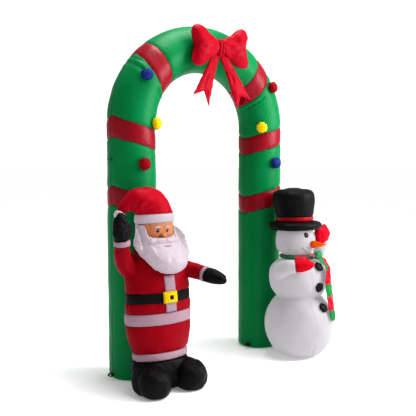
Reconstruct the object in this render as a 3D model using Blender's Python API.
"""Walk-through inflatable arch: a banded tube, a bow, six balls and two standing figures.

Metres, +Z up. The arch faces -Y. Its two legs stand on the floor at Z = 0, a bearded
figure in a red coat stands before the left leg and a snowman before the right one.
Every air-filled panel is a closed solid that bulges between its drawn-in seams.
"""
import math

import bmesh
import bpy
from mathutils import Euler, Vector

# ---- driving sizes ----------------------------------------------------------------
SEAM_GAP = 0.0005           # air left between two panels that are sewn together
CONTACT_GAP = 0.0008        # air left under a piece sewn onto a round panel
LEG_GAP = 0.005             # air left between a figure's back and the leg behind it
ROOT_GAP = 0.0008           # step from ring to ring where a sleeve leaves its panel
ROOT_SHARES = (0.35, 0.70)  # rings between a sleeve's sewn middle and its first row
ROOT_RINGS = 4              # rings that are slid out of the panel
SHARP_ANGLE = math.radians(50.0)    # steeper edges than this stay sharp

ARCH_AT = Vector((0.042, 0.269, 0.0))      # middle of the arch, from the part's origin
ARCH_HEIGHT = 2.400         # floor to the top of the crown
LEG_SPACING = 1.218         # between the two legs' centrelines
TUBE_RADIUS = 0.162
CROWN_RISE = 0.543          # height of the bent part of the centreline
SEAM_DIP = 0.003            # how far a band seam pulls the tube in
SEAM_REACH = 0.016          # length over which the tube swells back
FOOT_ROUND = 0.030          # round edge at the foot of each leg
# (height, distance in from the skin) of the foot's rings, as shares of the round edge
FOOT_PROFILE = ((0.0, 1.0), (0.25, 0.35), (1.0, 0.03))
TUBE_SIDES = 20
TUBE_STEP = 0.160           # longest distance between two rings of the tube

SANTA_AT = Vector((-0.630, -0.310, 0.0))   # from the middle of the arch
SANTA_TURN = math.radians(-3.0)            # turned a little towards -X
SNOWMAN_AT = Vector((0.608, -0.426, 0.0))
FIGURE_SIDES = 20

HALF_SPACING = LEG_SPACING / 2.0
SPRING_HEIGHT = ARCH_HEIGHT - TUBE_RADIUS - CROWN_RISE

# Heights of the red bands' seams, measured along the centreline from the left foot:
# (at the outer side of the tube, at its inner side). The right side mirrors them.
BAND_SEAMS = (
    (1.167, 1.044), (1.294, 1.171),        # lower band: bottom, top
    (1.613, 1.489), (1.741, 1.617),        # upper band
    (2.095, 1.946), (2.188, 2.134),        # shoulder band
)

COLOURS = {
    # name: (red, green, blue, roughness)
    "green": (0.006, 0.205, 0.060, 0.45),
    "band_red": (0.340, 0.006, 0.022, 0.45),
    "bow_red": (0.640, 0.010, 0.035, 0.40),
    "coat_red": (0.480, 0.003, 0.015, 0.45),
    "white": (0.700, 0.680, 0.700, 0.55),
    "black": (0.010, 0.010, 0.011, 0.50),
    "yellow": (0.800, 0.640, 0.030, 0.50),
    "blue": (0.020, 0.035, 0.260, 0.50),
    "skin": (0.680, 0.300, 0.150, 0.55),
    "orange": (0.900, 0.200, 0.010, 0.50),
    "scarf": (0.030, 0.230, 0.060, 0.70),
}

X_AXIS = Vector((1.0, 0.0, 0.0))
FRONT = Vector((0.0, -1.0, 0.0))
UP = Vector((0.0, 0.0, 1.0))


# ---- tools ------------------------------------------------------------------------
def clear_scene():
    for item in list(bpy.data.objects):
        bpy.data.objects.remove(item, do_unlink=True)


def material(colour):
    """One Principled material for each colour of cloth."""
    found = bpy.data.materials.get(colour)
    if found:
        return found
    made = bpy.data.materials.new(colour)
    made.use_nodes = True
    red, green, blue, roughness = COLOURS[colour]
    shader = made.node_tree.nodes["Principled BSDF"]
    shader.inputs["Base Color"].default_value = (red, green, blue, 1.0)
    shader.inputs["Roughness"].default_value = roughness
    shader.inputs["Metallic"].default_value = 0.0
    made.diffuse_color = (red, green, blue, 1.0)
    return made


def empty(name, place, turn=0.0, parent=None):
    """A carrier that a group of panels is parented to."""
    carrier = bpy.data.objects.new(name, None)
    bpy.context.collection.objects.link(carrier)
    carrier.location = place
    carrier.rotation_euler = (0.0, 0.0, turn)
    carrier.parent = parent
    return carrier


def lerp(low, high, share):
    return low + (high - low) * share


def between(table, height):
    """Straight-line reading of a table whose first column is the height."""
    if height <= table[0][0]:
        return table[0][1:]
    for low, high in zip(table, table[1:]):
        if height <= high[0]:
            share = (height - low[0]) / (high[0] - low[0])
            return tuple(lerp(a, b, share) for a, b in zip(low[1:], high[1:]))
    return table[-1][1:]


def loft(name, rings, colour, parent, start=None, end=None):
    """A closed body through rings of equal count, with a fan on each end.

    start and end are the fans' middle points; left out, they are the rings' own.
    """
    bm = bmesh.new()
    rows = [[bm.verts.new(point) for point in ring] for ring in rings]
    count = len(rings[0])
    for low, high in zip(rows, rows[1:]):
        for i in range(count):
            j = (i + 1) % count
            bm.faces.new((low[i], low[j], high[j], high[i]))
    for row, ring, pole in ((rows[0], rings[0], start), (rows[-1], rings[-1], end)):
        middle = bm.verts.new(pole or sum(ring, Vector()) / count)
        for i in range(count):
            bm.faces.new((row[i], row[(i + 1) % count], middle))
    bmesh.ops.triangulate(bm, faces=bm.faces)
    bmesh.ops.recalc_face_normals(bm, faces=bm.faces)
    mesh = bpy.data.meshes.new(name)
    bm.to_mesh(mesh)
    bm.free()
    mesh.shade_smooth()
    mesh.set_sharp_from_angle(angle=SHARP_ANGLE)
    body = bpy.data.objects.new(name, mesh)
    bpy.context.collection.objects.link(body)
    body.parent = parent
    mesh.materials.append(material(colour))
    return body


def oval(middle, across, deep, half_across, half_deep, sides):
    """A ring of points on an oval spanned by two directions."""
    ring = []
    for i in range(sides):
        angle = math.tau * i / sides
        ring.append(middle + across * (half_across * math.cos(angle))
                    + deep * (half_deep * math.sin(angle)))
    return ring


def stack(name, rows, colour, parent, lift=0.0, sides=FIGURE_SIDES, press=None):
    """A panel of level ovals. rows: height, half width, half depth, centre x, centre y.

    lift raises the front of every oval, as a full belly does to its seams. press(point)
    is where something that the panel leans on stops the point.
    """
    rings = []
    for height, half_width, half_depth, centre_x, centre_y in rows:
        middle = Vector((centre_x, centre_y, height))
        ring = oval(middle, X_AXIS, FRONT, half_width, half_depth, sides)
        for i, point in enumerate(ring):
            point.z += lift * max(0.0, math.sin(math.tau * i / sides))
        rings.append([press(point) for point in ring] if press else ring)
    return loft(name, rings, colour, parent)


def limb(name, rows, colour, parent, side, sides=16, outside=None, before=None, after=None):
    """A sleeve-like tube. rows: place, half width, half thickness.

    side is the direction of the tube's thickness. before and after are the next places
    of the pieces that it meets, so that the meeting ends share a plane.
    outside(point, step, gap) slides the root of the tube out of the panel that it is
    sewn to, each ring a little further than the one before.
    """
    places = [Vector(row[0]) for row in rows]
    path = [Vector(before or places[0]), *places, Vector(after or places[-1])]
    rings = []
    for i, (_, half_width, half_thickness) in enumerate(rows):
        run = path[i + 2] - path[i]
        across = run.cross(side).normalized()
        deep = across.cross(run).normalized()
        rings.append(oval(places[i], across, deep, half_width, half_thickness, sides))
    start = places[0]
    if outside:
        step = (places[1] - places[0]).normalized()
        root = [[lerp(start, point, share) for point in rings[0]] for share in ROOT_SHARES]
        rings = root + rings
        for i in range(ROOT_RINGS):
            gap = CONTACT_GAP + ROOT_GAP * (i + 1)
            rings[i] = [outside(point, step, gap) for point in rings[i]]
        start = outside(start, step, CONTACT_GAP)
    return loft(name, rings, colour, parent, start=start)


def arm(pieces, parent, side, outside=None):
    """Sleeve, cuff and mitten in a row. pieces: name, colour, rows as in limb."""
    made = []
    for i, (name, colour, rows) in enumerate(pieces):
        before = pieces[i - 1][2][-2][0] if i else None
        after = pieces[i + 1][2][1][0] if i + 1 < len(pieces) else None
        made.append(limb(name, rows, colour, parent, side, before=before, after=after,
                         outside=None if i else outside))
    return made


def join_with(body, others):
    """Weld other closed bodies into one, and keep them only as guides."""
    for other in others:
        other.hide_render = True
        other.display_type = "WIRE"
        weld = body.modifiers.new("weld_" + other.name, "BOOLEAN")
        weld.operation = "UNION"
        weld.solver = "EXACT"
        weld.object = other
    return body


def slide_out(inside, point, step, reach=0.30, rounds=24):
    """Move a point along step until it leaves a solid, found by halving."""
    if not inside(point):
        return point
    low, high = 0.0, reach
    for _ in range(rounds):
        half = (low + high) / 2.0
        if inside(point + step * half):
            low = half
        else:
            high = half
    return point + step * high


# ---- the tube ---------------------------------------------------------------------
def crown_table(steps=400):
    """Arc length along the crown's half oval: (length, angle) from the left springing."""
    table = [(0.0, 0.0)]
    length = 0.0
    for i in range(steps):
        angle = math.pi * (i + 0.5) / steps
        slope = math.hypot(HALF_SPACING * math.sin(angle), CROWN_RISE * math.cos(angle))
        length += slope * math.pi / steps
        table.append((length, math.pi * (i + 1) / steps))
    return table


CROWN = crown_table()
CROWN_LENGTH = CROWN[-1][0]
TUBE_LENGTH = 2.0 * SPRING_HEIGHT + CROWN_LENGTH


def centreline(run):
    """Place, direction and outward normal at a distance from the left foot."""
    if run <= SPRING_HEIGHT:
        place = Vector((-HALF_SPACING, 0.0, run))
        ahead = UP.copy()
    elif run >= TUBE_LENGTH - SPRING_HEIGHT:
        place = Vector((HALF_SPACING, 0.0, TUBE_LENGTH - run))
        ahead = -UP
    else:
        angle, = between(CROWN, run - SPRING_HEIGHT)
        place = Vector((-HALF_SPACING * math.cos(angle), 0.0,
                        SPRING_HEIGHT + CROWN_RISE * math.sin(angle)))
        ahead = Vector((HALF_SPACING * math.sin(angle), 0.0,
                        CROWN_RISE * math.cos(angle))).normalized()
    return place, ahead, Vector((-ahead.z, 0.0, ahead.x))


def tube_point(run, angle, radius=TUBE_RADIUS):
    """A point of the tube's skin. The angle is 0 outside, 90 degrees in front."""
    place, _, outward = centreline(run)
    return place + (outward * math.cos(angle) + FRONT * math.sin(angle)) * radius


def inside_tube(point, gap):
    """Whether a point lies in the tube, grown by a gap."""
    steps = 240
    nearest = min((centreline(TUBE_LENGTH * i / steps)[0] - point).length_squared
                  for i in range(steps + 1))
    return nearest < (TUBE_RADIUS + gap) ** 2


def seam_run(seam, angle):
    """A band's seam runs evenly from the tube's outer side to its inner side."""
    share = abs(math.remainder(angle, math.tau)) / math.pi
    return lerp(seam[0], seam[1], share)


def tube_panel(name, low, high, colour, parent, foot=None):
    """One panel of the tube between two seams; foot names the end on the floor."""
    length = (high[0] + high[1] - low[0] - low[1]) / 2.0
    edge = SEAM_REACH / length
    count = max(1, math.ceil(length / TUBE_STEP))
    shares = [0.0, edge] + [lerp(edge, 1.0 - edge, (i + 1) / count) for i in range(count)]
    rows = [(share, 0.0) for share in shares] + [(1.0, SEAM_DIP)]
    rows[0] = (0.0, SEAM_DIP)
    floor = [(rise * FOOT_ROUND / length, dip * FOOT_ROUND) for rise, dip in FOOT_PROFILE]
    if foot == "low":
        rows = floor + rows[2:]
    if foot == "high":
        rows = rows[:-2] + [(1.0 - share, dip) for share, dip in reversed(floor)]
    rings = []
    for share, dip in rows:
        ring = []
        for i in range(TUBE_SIDES):
            angle = math.tau * i / TUBE_SIDES
            run = lerp(seam_run(low, angle) + (0.0 if foot == "low" else SEAM_GAP),
                       seam_run(high, angle) - (0.0 if foot == "high" else SEAM_GAP), share)
            ring.append(tube_point(run, angle, TUBE_RADIUS - dip))
        rings.append(ring)
    ends = []
    for seam, shift, floor_end in ((low, SEAM_GAP, "low"), (high, -SEAM_GAP, "high")):
        middle = sum(seam) / 2.0 + (0.0 if foot == floor_end else shift)
        ends.append(centreline(middle)[0])
    return loft(name, rings, colour, parent, start=ends[0], end=ends[1])


def build_tube(parent):
    """Seven green panels and six red bands, from the left foot to the right one."""
    mirrored = [(TUBE_LENGTH - outer, TUBE_LENGTH - inner)
                for outer, inner in reversed(BAND_SEAMS)]
    seams = [(0.0, 0.0), *BAND_SEAMS, *mirrored, (TUBE_LENGTH, TUBE_LENGTH)]
    last = len(seams) - 2
    for i, (low, high) in enumerate(zip(seams, seams[1:])):
        shade, colour = ("green", "green") if i % 2 == 0 else ("red", "band_red")
        foot = {0: "low", last: "high"}.get(i)
        tube_panel(f"tube_{shade}_{i // 2 + 1}", low, high, colour, parent, foot)


# ---- balls, stake loops and tether tab --------------------------------------------
BALL_RADIUS = 0.041
BALL_GAP = 0.002            # air left between a ball's flat back and the tube
BALL_SIDES = 10
# (share of the radius, height over the skin) from the sewn base to the top
BALL_PROFILE = (
    (0.31, 0.000), (0.62, -0.012), (0.86, 0.004), (1.00, 0.018), (0.92, 0.032), (0.55, 0.043),
)
BALL_TOP = 0.046
# run from the foot of its own leg, angles from the outer side (left, right), colours
BALLS = (
    (1.434, 83.0, 91.0, "coat_red", "blue"),
    (1.700, 122.0, 130.0, "yellow", "yellow"),
    (1.985, 63.0, 71.0, "blue", "coat_red"),
)


def build_ball(name, run, angle, colour, parent):
    """A flat-backed padded ball sewn onto the tube."""
    root = tube_point(run, angle)
    normal = (root - centreline(run)[0]).normalized()
    across = normal.cross(UP).normalized()
    along = across.cross(normal)

    def clear(point):
        return slide_out(lambda p: inside_tube(p, BALL_GAP), point, normal, reach=0.05)

    rings = []
    for share, height in BALL_PROFILE:
        radius = share * BALL_RADIUS
        ring = oval(root + normal * height, across, along, radius, radius, BALL_SIDES)
        rings.append([clear(point) for point in ring])
    loft(name, rings, colour, parent, start=clear(root), end=root + normal * BALL_TOP)


def build_balls(parent):
    """Three balls up each side of the tube."""
    for row, (run, left_angle, right_angle, left, right) in enumerate(BALLS, start=1):
        build_ball(f"ball_left_{row}", run, math.radians(left_angle), left, parent)
        build_ball(f"ball_right_{row}", TUBE_LENGTH - run, math.radians(right_angle),
                   right, parent)


LOOP_WIDTH = 0.020          # webbing width
LOOP_THICK = 0.002
LOOP_REACH = 0.038          # how far a stake loop stands out of the seam
LOOP_EYE = 0.009            # half height of the eye
LOOP_HEIGHT = 0.034
TETHER_HEIGHT = 1.464
TETHER_REACH = 0.026
TETHER_EYE = 0.006


def webbing_loop(name, root, colour, parent, reach, eye):
    """A strip of webbing doubled into an open eye that stands out towards -X."""
    outward = -X_AXIS
    width = -FRONT * (LOOP_WIDTH / 2.0)
    sides = 14
    rings = []
    for edge in (-1.0, 1.0):
        outer, inner = [], []
        for i in range(sides):
            t = math.tau * i / sides
            bow = Vector((math.cos(t), math.sin(t)))
            for ring, wall in ((outer, 0.0), (inner, LOOP_THICK)):
                place = (root + outward * (reach / 2.0 + bow.x * (reach / 2.0 - wall))
                         + UP * (bow.y * (eye + LOOP_THICK - wall)) + width * edge)
                ring.append(place)
        rings += [outer, inner]
    order = [rings[0], rings[2], rings[3], rings[1]]
    bm = bmesh.new()
    rows = [[bm.verts.new(point) for point in ring] for ring in order]
    for a, b in zip(rows, rows[1:] + rows[:1]):
        for i in range(sides):
            j = (i + 1) % sides
            bm.faces.new((a[i], a[j], b[j], b[i]))
    bmesh.ops.recalc_face_normals(bm, faces=bm.faces)
    mesh = bpy.data.meshes.new(name)
    bm.to_mesh(mesh)
    bm.free()
    mesh.shade_smooth()
    mesh.set_sharp_from_angle(angle=SHARP_ANGLE)
    body = bpy.data.objects.new(name, mesh)
    bpy.context.collection.objects.link(body)
    body.parent = parent
    mesh.materials.append(material(colour))


def build_loops(parent):
    """Two stake loops at the feet and one tether loop high on the left leg."""
    stand_off = TUBE_RADIUS + CONTACT_GAP
    for name, centre_x, bearing in (("stake_loop_left", -HALF_SPACING, 0.0),
                                    ("stake_loop_right", HALF_SPACING, 20.0)):
        angle = math.radians(bearing)
        clear = LOOP_WIDTH / 2.0 * math.tan(angle)
        root = Vector((centre_x - stand_off * math.cos(angle) - clear,
                       -stand_off * math.sin(angle), LOOP_HEIGHT))
        webbing_loop(name, root, "black", parent, LOOP_REACH, LOOP_EYE)
    root = Vector((-HALF_SPACING - stand_off, 0.0, TETHER_HEIGHT))
    webbing_loop("tether_loop", root, "green", parent, TETHER_REACH, TETHER_EYE)


# ---- bow --------------------------------------------------------------------------
BOW_AT = Vector((0.002, -0.205, 2.240))
BOW_ROLL = math.radians(1.5)     # the right loop sits a little higher
BOW_SIDES = 16
BOW_GAP = 0.003             # air left between the bow and the tube
# share of the loop's length, half height, half thickness
BOW_LOOP = (
    (0.00, 0.046, 0.026), (0.12, 0.060, 0.032), (0.34, 0.092, 0.043), (0.56, 0.126, 0.051),
    (0.74, 0.140, 0.048), (0.88, 0.132, 0.036), (0.97, 0.106, 0.018), (1.00, 0.082, 0.007),
)
BOW_LOOP_START = 0.036
BOW_LOOP_LENGTHS = (0.224, 0.240)   # left, right
BOW_LOOP_NOTCHES = (0.16, 0.20)     # how deep the outer edge dips, as a share of the length
# share of the tail's length, half width, half thickness
BOW_TAIL = (
    (0.00, 0.030, 0.010), (0.20, 0.037, 0.014), (0.50, 0.051, 0.016), (0.80, 0.067, 0.013),
    (0.96, 0.076, 0.007), (1.00, 0.078, 0.003),
)
BOW_TAIL_LENGTHS = (0.348, 0.358)   # left, right
BOW_TAIL_NOTCHES = (0.21, 0.18)
BOW_TAIL_SLANT = 0.042      # how much further down the root's outer corner lies
BOW_TAIL_LEAN = math.radians(27.0)
BOW_TAIL_FORWARD = 0.035    # the tails' tips stand this much in front of their roots
BOW_TAIL_ASIDE = (0.050, 0.040)     # the roots' middles, left and right of the bow's middle
BOW_TAIL_AHEAD, BOW_TAIL_BELOW = -0.004, -0.074
KNOT_HALF = (0.035, 0.040, 0.060)
KNOT_DROP = 0.010           # the knot's middle lies below the loops'
KNOT_RINGS, KNOT_SIDES = 7, 14


def off_tube(point):
    """The point itself, or where it leaves the tube's front."""
    return slide_out(lambda p: inside_tube(p, BOW_GAP), point, FRONT, reach=0.05, rounds=10)


def pillow(name, rows, start, along, across, deep, length, notch, colour, parent, slant=0.0):
    """A flat puffed panel that lies on the tube, its outer edge dipping in the middle.

    slant is how much further along the root's corner on the side of across lies.
    """
    rings = []
    for share, half_width, half_thickness in rows:
        ring = []
        for i in range(BOW_SIDES):
            t = math.tau * i / BOW_SIDES
            height, depth = math.sin(t), math.cos(t)
            reach = share * (1.0 - notch * (1.0 - abs(height)) * share ** 3)
            skew = slant * (1.0 + height) / 2.0 * (1.0 - share) ** 2
            ring.append(off_tube(start + along * (length * reach + skew)
                                 + across * (half_width * height)
                                 + deep * (half_thickness * depth)))
        rings.append(ring)
    middle = length * (1.0 - notch)
    root = start + along * (slant / 2.0)
    loft(name, rings, colour, parent, start=root, end=off_tube(start + along * middle))


def build_bow(parent):
    """Two puffed loops, a knot and two notched tails, all clear of the tube's front."""
    level = Vector((math.cos(BOW_ROLL), 0.0, math.sin(BOW_ROLL)))
    for i, (name, side) in enumerate((("left", -1.0), ("right", 1.0))):
        along = level * side
        pillow(f"bow_loop_{name}", BOW_LOOP, BOW_AT + along * BOW_LOOP_START, along,
               level.cross(FRONT), FRONT, BOW_LOOP_LENGTHS[i], BOW_LOOP_NOTCHES[i],
               "bow_red", parent)
        length = BOW_TAIL_LENGTHS[i]
        lean = Vector((side * math.sin(BOW_TAIL_LEAN), -BOW_TAIL_FORWARD / length,
                       -math.cos(BOW_TAIL_LEAN))).normalized()
        outer = lean.cross(FRONT).normalized() * -side
        root = BOW_AT + Vector((side * BOW_TAIL_ASIDE[i], BOW_TAIL_AHEAD, BOW_TAIL_BELOW))
        pillow(f"bow_tail_{name}", BOW_TAIL, root, lean, outer, outer.cross(lean) * side,
               length, BOW_TAIL_NOTCHES[i], "bow_red", parent, slant=BOW_TAIL_SLANT)
    half_x, half_y, half_z = KNOT_HALF
    rows = []
    for i in range(KNOT_RINGS):
        t = math.pi * (i + 0.5) / KNOT_RINGS - math.pi / 2.0
        swell = math.cos(t) ** 0.5
        rows.append((BOW_AT.z - KNOT_DROP + half_z * math.sin(t), half_x * swell,
                     half_y * swell, BOW_AT.x, BOW_AT.y))
    stack("bow_knot", rows, "bow_red", parent, sides=KNOT_SIDES)


# ---- bearded figure ---------------------------------------------------------------
FRONT_LIFT = 0.008
# height, half width, half depth, centre x, centre y
SANTA_PANELS = {
    "santa_leg_cuff": ("white", (
        (0.202, 0.190, 0.123, 0.0, -0.020), (0.211, 0.195, 0.127, 0.0, -0.020),
        (0.239, 0.195, 0.127, 0.0, -0.019), (0.248, 0.190, 0.123, 0.0, -0.018))),
    "santa_trousers": ("coat_red", (
        (0.249, 0.189, 0.122, 0.0, -0.018), (0.264, 0.197, 0.128, 0.0, -0.017),
        (0.315, 0.213, 0.138, 0.0, -0.012), (0.370, 0.226, 0.146, 0.0, -0.006),
        (0.412, 0.231, 0.150, 0.0, 0.0), (0.427, 0.229, 0.149, 0.0, 0.0))),
    "santa_hem_band": ("white", (
        (0.428, 0.230, 0.150, 0.0, 0.0), (0.440, 0.234, 0.153, 0.0, 0.0),
        (0.488, 0.234, 0.153, 0.0, 0.0), (0.500, 0.230, 0.150, 0.0, 0.0))),
    "santa_skirt": ("coat_red", (
        (0.501, 0.229, 0.149, 0.0, 0.0), (0.514, 0.231, 0.151, 0.0, 0.0),
        (0.554, 0.229, 0.149, 0.0, 0.0), (0.567, 0.226, 0.147, 0.0, 0.0))),
    "santa_belt": ("black", (
        (0.568, 0.225, 0.146, 0.0, 0.0), (0.578, 0.227, 0.148, 0.0, 0.001),
        (0.618, 0.227, 0.147, 0.0, 0.003), (0.628, 0.225, 0.145, 0.0, 0.004))),
}
SANTA_CHEST = (
    (0.629, 0.225, 0.145, 0.0, 0.004), (0.645, 0.228, 0.147, 0.0, 0.006),
    (0.700, 0.228, 0.145, 0.0, 0.013), (0.760, 0.221, 0.140, 0.0, 0.020),
    (0.820, 0.203, 0.130, 0.0, 0.022), (0.870, 0.168, 0.114, 0.0, 0.022),
    (0.905, 0.125, 0.093, 0.0, 0.022), (0.925, 0.085, 0.070, 0.0, 0.021),
)
HEAD_X, HEAD_Y = -0.012, 0.020
SANTA_HEAD = (
    (0.926, 0.086, 0.070, HEAD_X, HEAD_Y), (0.945, 0.115, 0.087, HEAD_X, HEAD_Y),
    (0.980, 0.129, 0.093, HEAD_X, HEAD_Y), (1.020, 0.132, 0.095, HEAD_X, HEAD_Y),
    (1.058, 0.130, 0.093, HEAD_X, HEAD_Y),
)
HAT_BAND = (
    (1.059, 0.131, 0.094, HEAD_X, HEAD_Y), (1.069, 0.137, 0.100, HEAD_X, HEAD_Y),
    (1.106, 0.137, 0.100, HEAD_X, HEAD_Y), (1.116, 0.132, 0.095, HEAD_X, HEAD_Y),
)
# centre x from the head's, height, tilt in degrees, half width, half depth, centre y
HAT = (
    (0.000, 1.117, 0.0, 0.131, 0.095, 0.020), (-0.012, 1.146, 8.0, 0.126, 0.094, 0.020),
    (-0.034, 1.178, 19.0, 0.121, 0.094, 0.020), (-0.067, 1.204, 34.0, 0.113, 0.091, 0.020),
    (-0.113, 1.219, 54.0, 0.093, 0.083, 0.020), (-0.161, 1.212, 80.0, 0.069, 0.065, 0.022),
    (-0.198, 1.190, 106.0, 0.048, 0.047, 0.026), (-0.224, 1.162, 130.0, 0.038, 0.037, 0.030),
    (-0.2415, 1.140, 146.0, 0.029, 0.029, 0.032),
)
HAT_TIP = (
    (-0.2425, 1.1390, 146.0, 0.028, 0.029, 0.032), (-0.250, 1.128, 146.0, 0.034, 0.034, 0.032),
    (-0.259, 1.111, 148.0, 0.034, 0.033, 0.032), (-0.266, 1.099, 150.0, 0.021, 0.021, 0.032),
)
# The space that the beard and hair lie on: it closes over the neck.
# height, half width, half depth, centre x, centre y
COVERED = (
    (0.600, 0.226, 0.150, 0.0, 0.002), (0.700, 0.230, 0.147, 0.0, 0.013),
    (0.760, 0.223, 0.142, 0.0, 0.020), (0.820, 0.206, 0.133, 0.0, 0.021),
    (0.960, 0.132, 0.096, HEAD_X, HEAD_Y), (1.020, 0.135, 0.098, HEAD_X, HEAD_Y),
    (1.060, 0.135, 0.098, HEAD_X, HEAD_Y),
)
# distance from the middle (the figure's right side first), top, bottom, thickness
BEARD = (
    (-0.208, 0.955, 0.935, 0.014), (-0.198, 0.985, 0.920, 0.028), (-0.180, 1.030, 0.900, 0.036),
    (-0.160, 1.052, 0.873, 0.042), (-0.136, 1.057, 0.838, 0.048), (-0.116, 1.050, 0.812, 0.052),
    (-0.104, 0.988, 0.797, 0.055), (-0.080, 0.979, 0.777, 0.058), (-0.045, 0.974, 0.757, 0.060),
    (0.000, 0.972, 0.748, 0.060), (0.045, 0.974, 0.750, 0.060), (0.080, 0.979, 0.759, 0.060),
    (0.104, 0.988, 0.770, 0.058), (0.116, 1.040, 0.777, 0.056), (0.136, 1.046, 0.793, 0.054),
    (0.160, 1.024, 0.812, 0.050), (0.184, 0.980, 0.824, 0.046), (0.200, 0.930, 0.834, 0.036),
    (0.211, 0.885, 0.850, 0.016),
)
BEARD_STEPS = 8             # points down the back and again up the front
BEARD_LOW, BEARD_HIGH = 0.870, 0.950
BEARD_HAIR = (0.150, 0.185)  # from here out, the rim turns forward from hair to beard
BEARD_RIM, HAIR_RIM = -0.020, 0.030     # how far forward the rim's back lies (as y)
BEARD_FLARE = (0.25, 0.10)  # the beard's rim comes forward by this slope, from this x out
BEARD_SWELL = (0.7, 1.5)    # fullness at the top, and what the bottom has more of it
# the raised upper lip: how far it stands out, middle height, half height, half width
BEARD_LIP = (0.012, 0.950, 0.016, 0.085)
# middle and half width of the two strips on the coat's front, and their low and high ends
PLACKET_X, PLACKET_HALF, PLACKET_HEIGHTS = -0.004, 0.040, (0.514, 0.742)
BUCKLE_X, BUCKLE_HALF, BUCKLE_HEIGHTS = -0.012, 0.051, (0.572, 0.645)
STRIP_COLUMNS, STRIP_EDGE = 6, 0.35     # points across a strip, and how thick its edges are
LOBE_X, LOBE_Y = 0.140, -0.166      # middle of each boot's round toe
# height, half width and half length, shift to the back
BOOT_LOBE = (
    (0.000, 0.049, 0.000), (0.008, 0.070, 0.000), (0.030, 0.091, 0.000),
    (0.065, 0.103, 0.000), (0.100, 0.105, 0.001), (0.132, 0.098, 0.005),
    (0.160, 0.081, 0.013), (0.178, 0.055, 0.024), (0.188, 0.028, 0.034),
)
# height, half width, half depth, centre x, centre y
BOOT_HEEL = (
    (0.004, 0.140, 0.085, 0.0, -0.022), (0.022, 0.180, 0.112, 0.0, -0.022),
    (0.060, 0.200, 0.129, 0.0, -0.022), (0.115, 0.205, 0.134, 0.0, -0.022),
    (0.165, 0.200, 0.131, 0.0, -0.021), (0.201, 0.190, 0.123, 0.0, -0.020),
)


def inside_panel(rows, gap, lift=0.0):
    """A test for points inside a stack of ovals that is grown by a gap."""
    def test(point):
        height = point.z
        for _ in range(2):
            _, half_depth, _, centre_y = between(rows, height)
            fore = min(1.0, max(0.0, (centre_y - point.y) / half_depth))
            height = point.z - lift * fore
        if not rows[0][0] - gap <= height <= rows[-1][0] + gap:
            return False
        half_width, half_depth, centre_x, centre_y = between(rows, height)
        across = (point.x - centre_x) / (half_width + gap)
        deep = (point.y - centre_y) / (half_depth + gap)
        return across * across + deep * deep < 1.0
    return test


def covered_front(x, height):
    """How far forward the covered space reaches (as y), beside it the rim of the hair."""
    half_width, half_depth, centre_x, centre_y = between(COVERED, height)
    ease = min(1.0, max(0.0, (height - BEARD_LOW) / (BEARD_HIGH - BEARD_LOW)))
    hair, beard = BEARD_HAIR
    ease *= min(1.0, max(0.0, (beard - abs(x)) / (beard - hair)))
    slope, flare_x = BEARD_FLARE
    rim = lerp(BEARD_RIM - slope * max(0.0, abs(x) - flare_x), HAIR_RIM, ease)
    across = (x - centre_x) / half_width
    if abs(across) >= 1.0:
        return rim
    return min(rim, centre_y - half_depth * math.sqrt(1.0 - across * across))


def build_beard(parent):
    """One padded piece: beard, cheeks and the hair before the ears, open at the face."""
    full, fuller = BEARD_SWELL
    lip_out, lip_height, lip_half, lip_width = BEARD_LIP
    rings = []
    for offset, top, bottom, thickness in BEARD:
        x = HEAD_X * 0.5 + offset
        back, front = [], []
        for i in range(BEARD_STEPS):
            share = i / (BEARD_STEPS - 1)
            height = lerp(top, bottom, share)
            swell = full + fuller * share
            swell *= max(0.05, math.sin(math.pi * share)) ** 0.5
            lip = lip_out * math.exp(-((height - lip_height) / lip_half) ** 2
                                     - (offset / lip_width) ** 4)
            y = covered_front(x, height)
            back.append(Vector((x, y, height)))
            front.append(Vector((x, y - thickness * swell - lip, height)))
        rings.append(back + front[::-1])
    loft("santa_beard", rings, "white", parent)


def horn(name, rows, colour, parent, lift=0.0):
    """The stocking cap bends over in the XZ plane. rows as in HAT.

    lift raises the front of the first ring, and less and less of the next ones.
    """
    rings = []
    for row, (offset, height, tilt, half_width, half_depth, centre_y) in enumerate(rows):
        tilt = math.radians(tilt)
        across = Vector((math.cos(tilt), 0.0, math.sin(tilt)))
        middle = Vector((HEAD_X + offset, centre_y, height))
        ring = oval(middle, across, FRONT, half_width, half_depth, FIGURE_SIDES)
        rise = lift * max(0.0, 1.0 - row / 4.0)
        for i, point in enumerate(ring):
            point.z += rise * max(0.0, math.sin(math.tau * i / FIGURE_SIDES))
        rings.append(ring)
    loft(name, rings, colour, parent)


def front_strip(name, middle, half_width, heights, thickness, lift, colour, parent, steps=8):
    """A padded strip on the coat's front that follows the round of the panels."""
    coat = [row for panel in ("santa_skirt", "santa_belt") for row in SANTA_PANELS[panel][1]]
    coat += list(SANTA_CHEST)
    rings = []
    for i in range(steps + 1):
        height = lerp(*heights, i / steps)
        panel_width, panel_depth, _, centre_y = between(coat, height)
        back, front = [], []
        for k in range(STRIP_COLUMNS + 1):
            x = middle + lerp(-half_width, half_width, k / STRIP_COLUMNS)
            y = centre_y - (panel_depth + lift) * math.sqrt(1.0 - (x / panel_width) ** 2)
            edge = STRIP_EDGE if k in (0, STRIP_COLUMNS) else 1.0
            back.append(Vector((x, y, height)))
            front.append(Vector((x, y - thickness * edge, height)))
        rings.append(back + front[::-1])
    loft(name, rings, colour, parent)


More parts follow.
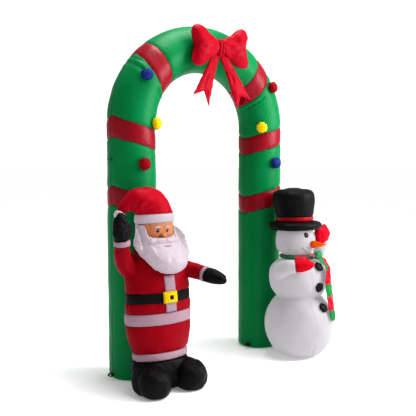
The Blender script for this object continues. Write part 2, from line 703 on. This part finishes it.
def before_leg(point):
    """Stop a point of the standing figure at the round front of the arch's left leg."""
    leg = Vector((-HALF_SPACING, 0.0, 0.0)) - SANTA_AT
    leg.rotate(Euler((0.0, 0.0, -SANTA_TURN)))
    reach = TUBE_RADIUS + LEG_GAP
    beside = point.x - leg.x
    if abs(beside) >= reach:
        return point
    front = leg.y - math.sqrt(reach * reach - beside * beside)
    return Vector((point.x, min(point.y, front), point.z))


def build_boots(parent):
    """One wide heel that two round toes grow out of."""
    lobes = []
    for name, side in (("right", -1.0), ("left", 1.0)):
        lobe = [(height, half, half, side * LOBE_X, LOBE_Y + backward)
                for height, half, backward in BOOT_LOBE]
        lobes.append(stack(f"boot_lobe_{name}", lobe, "black", parent, sides=16))
    join_with(stack("santa_boots", BOOT_HEEL, "black", parent, press=before_leg), lobes)


def build_arms(parent):
    """A raised right arm and a left arm held out before the coat."""
    def clear(point, step, gap):
        return slide_out(inside_panel(SANTA_CHEST, gap, FRONT_LIFT), point, step)

    raised = (
        ((-0.122, 0.020, 0.772), 0.056, 0.054), ((-0.178, 0.012, 0.778), 0.061, 0.057),
        ((-0.228, 0.000, 0.800), 0.059, 0.056), ((-0.264, -0.014, 0.842), 0.056, 0.053),
        ((-0.282, -0.026, 0.892), 0.053, 0.050), ((-0.291, -0.037, 0.943), 0.049, 0.047),
    )
    cuff = (
        ((-0.2911, -0.0373, 0.944), 0.048, 0.046), ((-0.2913, -0.0388, 0.950), 0.053, 0.051),
        ((-0.2911, -0.0433, 0.968), 0.053, 0.051), ((-0.2909, -0.0448, 0.974), 0.047, 0.045),
    )
    hand = (
        ((-0.2910, -0.0450, 0.975), 0.044, 0.034), ((-0.294, -0.046, 0.987), 0.051, 0.038),
        ((-0.302, -0.049, 1.022), 0.056, 0.040), ((-0.308, -0.053, 1.064), 0.053, 0.038),
        ((-0.309, -0.057, 1.106), 0.042, 0.032), ((-0.306, -0.059, 1.131), 0.026, 0.020),
    )
    thumb = (
        ((-0.275, -0.047, 0.998), 0.028, 0.026), ((-0.256, -0.050, 1.022), 0.027, 0.024),
        ((-0.243, -0.052, 1.046), 0.021, 0.019), ((-0.238, -0.054, 1.064), 0.012, 0.011),
    )
    made = arm((("santa_sleeve_right", "coat_red", raised), ("santa_cuff_right", "white", cuff),
                ("santa_mitten_right", "black", hand)), parent, FRONT, clear)
    join_with(made[-1], [limb("thumb_right", thumb, "black", parent, FRONT, sides=12)])

    held = (
        ((0.115, -0.018, 0.770), 0.052, 0.050), ((0.182, -0.041, 0.757), 0.052, 0.050),
        ((0.224, -0.085, 0.743), 0.051, 0.049), ((0.239, -0.126, 0.737), 0.050, 0.048),
        ((0.2464, -0.1583, 0.7316), 0.049, 0.047),
    )
    held_cuff = (
        ((0.2466, -0.1591, 0.7315), 0.047, 0.045), ((0.2481, -0.1638, 0.7305), 0.053, 0.050),
        ((0.2512, -0.1739, 0.7285), 0.053, 0.050), ((0.2529, -0.1788, 0.7275), 0.046, 0.044),
    )
    held_hand = (
        ((0.2532, -0.1796, 0.7273), 0.043, 0.041), ((0.2556, -0.1878, 0.7255), 0.050, 0.046),
        ((0.2695, -0.2309, 0.7185), 0.048, 0.044), ((0.2830, -0.2740, 0.7100), 0.041, 0.037),
        ((0.2930, -0.3060, 0.7035), 0.032, 0.030), ((0.2975, -0.3195, 0.7010), 0.020, 0.019),
    )
    arm((("santa_sleeve_left", "coat_red", held), ("santa_cuff_left", "white", held_cuff),
         ("santa_mitten_left", "black", held_hand)), parent, FRONT, clear)


def build_santa(parent):
    """The figure's panels from the floor up, then what is sewn onto them."""
    build_boots(parent)
    for name, (colour, rows) in SANTA_PANELS.items():
        stack(name, rows, colour, parent, lift=FRONT_LIFT, press=before_leg)
    stack("santa_chest", SANTA_CHEST, "coat_red", parent, lift=FRONT_LIFT, press=before_leg)
    stack("santa_head", SANTA_HEAD, "skin", parent, lift=FRONT_LIFT)
    stack("santa_hat_band", HAT_BAND, "white", parent, lift=FRONT_LIFT)
    horn("santa_hat", HAT, "coat_red", parent, lift=FRONT_LIFT)
    horn("santa_hat_tip", HAT_TIP, "white", parent)
    build_arms(parent)
    build_beard(parent)
    front_strip("santa_placket", PLACKET_X, PLACKET_HALF, PLACKET_HEIGHTS,
                thickness=0.006, lift=0.003, colour="white", parent=parent)
    front_strip("santa_buckle", BUCKLE_X, BUCKLE_HALF, BUCKLE_HEIGHTS,
                thickness=0.010, lift=0.012, colour="yellow", parent=parent, steps=3)


# ---- snowman ----------------------------------------------------------------------
SNOW_BODY = (
    # height, half width, half depth, centre x, centre y
    (0.000, 0.070, 0.070, 0.0, 0.0), (0.006, 0.110, 0.110, 0.0, 0.0),
    (0.020, 0.150, 0.150, 0.0, 0.0), (0.050, 0.188, 0.188, 0.0, 0.0),
    (0.090, 0.217, 0.217, 0.0, 0.0), (0.145, 0.241, 0.241, 0.0, 0.0),
    (0.205, 0.255, 0.255, 0.0, 0.0), (0.265, 0.260, 0.260, 0.0, 0.0),
    (0.335, 0.246, 0.246, 0.0, 0.0), (0.400, 0.212, 0.211, -0.001, 0.001),
    (0.435, 0.183, 0.180, -0.002, 0.002), (0.454, 0.169, 0.166, -0.003, 0.003),
    (0.470, 0.179, 0.174, -0.004, 0.004), (0.500, 0.203, 0.190, -0.006, 0.006),
    (0.550, 0.225, 0.202, -0.007, 0.008), (0.600, 0.233, 0.206, -0.007, 0.008),
    (0.650, 0.224, 0.200, -0.006, 0.008), (0.690, 0.196, 0.180, -0.004, 0.008),
    (0.712, 0.167, 0.156, -0.002, 0.009), (0.728, 0.130, 0.127, 0.000, 0.010),
)
# height, radius, centre y, lean to the back in degrees
SCARF_NECK = (
    (0.729, 0.114, 0.018, 0.0), (0.732, 0.130, 0.019, 0.0), (0.744, 0.135, 0.021, 0.0),
    (0.755, 0.129, 0.023, 0.0), (0.758, 0.104, 0.024, 0.0),
)
SNOW_HEAD = (
    (0.759, 0.100, 0.040, 0.0), (0.779, 0.127, 0.043, 0.2), (0.815, 0.143, 0.045, 0.4),
    (0.853, 0.147, 0.046, 0.7), (0.892, 0.144, 0.047, 1.1), (0.920, 0.136, 0.048, 1.4),
    (0.936, 0.128, 0.049, 1.5),
)
HAT_BRIM = (
    (0.937, 0.127, 0.049, 1.5), (0.941, 0.166, 0.050, 1.5), (0.953, 0.190, 0.051, 1.5),
    (0.970, 0.197, 0.052, 1.5), (0.987, 0.190, 0.053, 1.5), (0.999, 0.166, 0.054, 1.5),
    (1.003, 0.134, 0.054, 1.5),
)
HAT_RIBBON = (
    (1.004, 0.132, 0.055, 1.5), (1.009, 0.136, 0.055, 1.5), (1.031, 0.138, 0.056, 1.5),
    (1.036, 0.135, 0.057, 1.5),
)
HAT_CROWN = (
    (1.037, 0.134, 0.057, 1.5), (1.046, 0.138, 0.058, 1.5), (1.105, 0.147, 0.062, 1.5),
    (1.165, 0.154, 0.067, 1.5), (1.198, 0.151, 0.069, 1.5), (1.222, 0.136, 0.071, 1.5),
    (1.235, 0.108, 0.072, 1.5), (1.240, 0.066, 0.072, 1.5),
)
FACE_TURN = math.radians(7.5)       # the face looks a little to +X
NOSE_HEIGHT = 0.839
# height, angle from the front towards +X, distance from the body's axis, half width
SCARF_TAIL = (
    (0.790, 5.0, 0.142, 0.020), (0.778, 5.5, 0.152, 0.034), (0.758, 7.0, 0.162, 0.040),
    (0.732, 12.0, 0.182, 0.034), (0.702, 17.0, 0.205, 0.030), (0.660, 19.0, 0.218, 0.038),
    (0.603, 18.0, 0.224, 0.050), (0.546, 18.0, 0.229, 0.056), (0.450, 19.0, 0.238, 0.057),
    (0.370, 18.5, 0.254, 0.051), (0.318, 16.0, 0.266, 0.039), (0.294, 15.0, 0.269, 0.028),
)
SCARF_THICK = 0.009
# height, angle from the front towards +X
SNOW_BUTTONS = ((0.680, -1.5), (0.539, -4.0), (0.386, 0.5))
BUTTON_RADIUS = 0.036
BUTTON_SIDES = 12
BUTTON_GAP = 0.002          # air left between a button's flat back and the body
# (share of the radius, height over the skin) from the sewn base to the top
BUTTON_PROFILE = ((0.45, -0.001), (0.85, 0.0), (1.00, 0.008), (0.80, 0.018), (0.40, 0.022))
# (distance in front of the head, radius)
NOSE_PROFILE = ((-0.006, 0.014), (-0.006, 0.026), (0.010, 0.029), (0.048, 0.020),
                (0.090, 0.010), (0.119, 0.003))
NOSE_RISE = 0.07            # how much the nose rises over its length
# the scarf's tail: points across it, and how thick its side edges are
TAIL_COLUMNS, TAIL_EDGE = 6, 0.4


def leaning(name, rows, colour, parent):
    """A round panel whose rings lean to the back. rows: height, radius, centre y, lean."""
    rings = []
    for height, radius, centre_y, lean in rows:
        lean = math.radians(lean)
        forward = Vector((0.0, -math.cos(lean), math.sin(lean)))
        rings.append(oval(Vector((0.0, centre_y, height)), X_AXIS, forward, radius, radius,
                          FIGURE_SIDES))
    return loft(name, rings, colour, parent)


def azimuth(angle):
    """A level direction, measured from the front towards +X."""
    return Vector((math.sin(angle), -math.cos(angle), 0.0))


def build_snow_arms(parent):
    """Two arms, the left one raised, that the body takes up, and a mitten on each."""
    right = (
        ((-0.115, 0.021, 0.640), 0.056, 0.056), ((-0.223, -0.003, 0.655), 0.060, 0.058),
        ((-0.248, -0.047, 0.680), 0.056, 0.052), ((-0.242, -0.100, 0.697), 0.051, 0.048),
        ((-0.2115, -0.1411, 0.7060), 0.049, 0.046),
    )
    left = (
        ((0.080, 0.004, 0.640), 0.052, 0.052), ((0.130, 0.000, 0.650), 0.054, 0.052),
        ((0.175, -0.004, 0.690), 0.050, 0.048), ((0.201, -0.012, 0.740), 0.047, 0.046),
        ((0.207, -0.020, 0.790), 0.046, 0.045), ((0.210, -0.028, 0.835), 0.044, 0.043),
    )
    mitten_right = (
        ((-0.2100, -0.1427, 0.7062), 0.047, 0.043), ((-0.2027, -0.1503, 0.7075), 0.049, 0.045),
        ((-0.1732, -0.1804, 0.7130), 0.047, 0.041), ((-0.1401, -0.2124, 0.7180), 0.036, 0.030),
        ((-0.1199, -0.2317, 0.7210), 0.020, 0.018),
    )
    mitten_left = (
        ((0.2102, -0.0284, 0.8365), 0.046, 0.038), ((0.210, -0.030, 0.850), 0.056, 0.040),
        ((0.213, -0.034, 0.885), 0.069, 0.042), ((0.219, -0.038, 0.917), 0.070, 0.037),
        ((0.228, -0.041, 0.945), 0.048, 0.026), ((0.231, -0.042, 0.958), 0.025, 0.014),
    )
    sleeve_right, _ = arm((("arm_right", "white", right),
                           ("snow_mitten_right", "coat_red", mitten_right)), parent, X_AXIS)
    sleeve_left, _ = arm((("arm_left", "white", left),
                          ("snow_mitten_left", "coat_red", mitten_left)), parent, FRONT)
    return [sleeve_right, sleeve_left]


def build_scarf(parent):
    """A rolled ring round the neck and one flat tail that hangs from its knot."""
    leaning("snow_scarf_neck", SCARF_NECK, "scarf", parent)
    rings = []
    for height, angle, distance, half_width in SCARF_TAIL:
        out = azimuth(math.radians(angle))
        across = Vector((-out.y, out.x, 0.0))
        back, front = [], []
        for k in range(TAIL_COLUMNS + 1):
            share = 2.0 * k / TAIL_COLUMNS - 1.0
            sag = distance - math.sqrt(distance ** 2 - (half_width * share) ** 2)
            base = out * (distance - sag) + across * (half_width * share) + UP * height
            back.append(base)
            edge = TAIL_EDGE if k in (0, TAIL_COLUMNS) else 1.0
            front.append(base + out * (SCARF_THICK * edge))
        rings.append(back + front[::-1])
    loft("snow_scarf_tail", rings, "scarf", parent)


def build_buttons(parent):
    """Three padded discs that lie on the slope of the body."""
    body = inside_panel(SNOW_BODY, BUTTON_GAP)
    for number, (height, angle) in enumerate(SNOW_BUTTONS, start=1):
        level = azimuth(math.radians(angle))
        place = slide_out(body, UP * height, level)
        above = slide_out(body, UP * (height + BUTTON_RADIUS), level)
        below = slide_out(body, UP * (height - BUTTON_RADIUS), level)
        across = Vector((-level.y, level.x, 0.0))
        out = across.cross((above - below).normalized())
        out = out if out.dot(level) > 0.0 else -out
        along = across.cross(out)
        rings = []
        for share, rise in BUTTON_PROFILE:
            ring = oval(place + out * rise, across, along, share * BUTTON_RADIUS,
                        share * BUTTON_RADIUS, BUTTON_SIDES)
            rings.append([slide_out(body, point, out) for point in ring])
        loft(f"snow_button_{number}", rings, "black", parent,
             start=slide_out(body, place - out * CONTACT_GAP, out))


def build_nose(parent):
    """A padded cone that points a little up."""
    out = azimuth(FACE_TURN)
    rows = [(height, radius, radius, 0.0, centre_y)
            for height, radius, centre_y, _ in SNOW_HEAD]
    head = inside_panel(rows, 2.0 * CONTACT_GAP)
    radius, _, _, centre_y = between(rows, NOSE_HEIGHT)
    centre = Vector((0.0, centre_y, NOSE_HEIGHT))
    across = Vector((-out.y, out.x, 0.0))
    rings = []
    for rise, half in NOSE_PROFILE:
        middle = centre + out * (radius + rise) + UP * (NOSE_RISE * max(0.0, rise))
        ring = oval(middle, across, UP, half, half, BUTTON_SIDES)
        rings.append([slide_out(head, point, out) for point in ring])
    root = slide_out(head, centre + out * (radius + NOSE_PROFILE[0][0]), out)
    loft("snow_nose", rings, "orange", parent, start=root)


def build_snowman(parent):
    """The round panels from the floor up, then what is sewn onto them."""
    join_with(stack("snow_body", SNOW_BODY, "white", parent), build_snow_arms(parent))
    leaning("snow_head", SNOW_HEAD, "white", parent)
    leaning("snow_hat_brim", HAT_BRIM, "black", parent)
    leaning("snow_hat_ribbon", HAT_RIBBON, "coat_red", parent)
    leaning("snow_hat_crown", HAT_CROWN, "black", parent)
    build_nose(parent)
    build_scarf(parent)
    build_buttons(parent)


# ---- the whole --------------------------------------------------------------------
def main():
    clear_scene()
    arch = empty("arch", ARCH_AT)
    build_tube(arch)
    build_balls(arch)
    build_loops(arch)
    build_bow(arch)
    build_santa(empty("santa", SANTA_AT, SANTA_TURN, arch))
    build_snowman(empty("snowman", SNOWMAN_AT, 0.0, arch))


main()
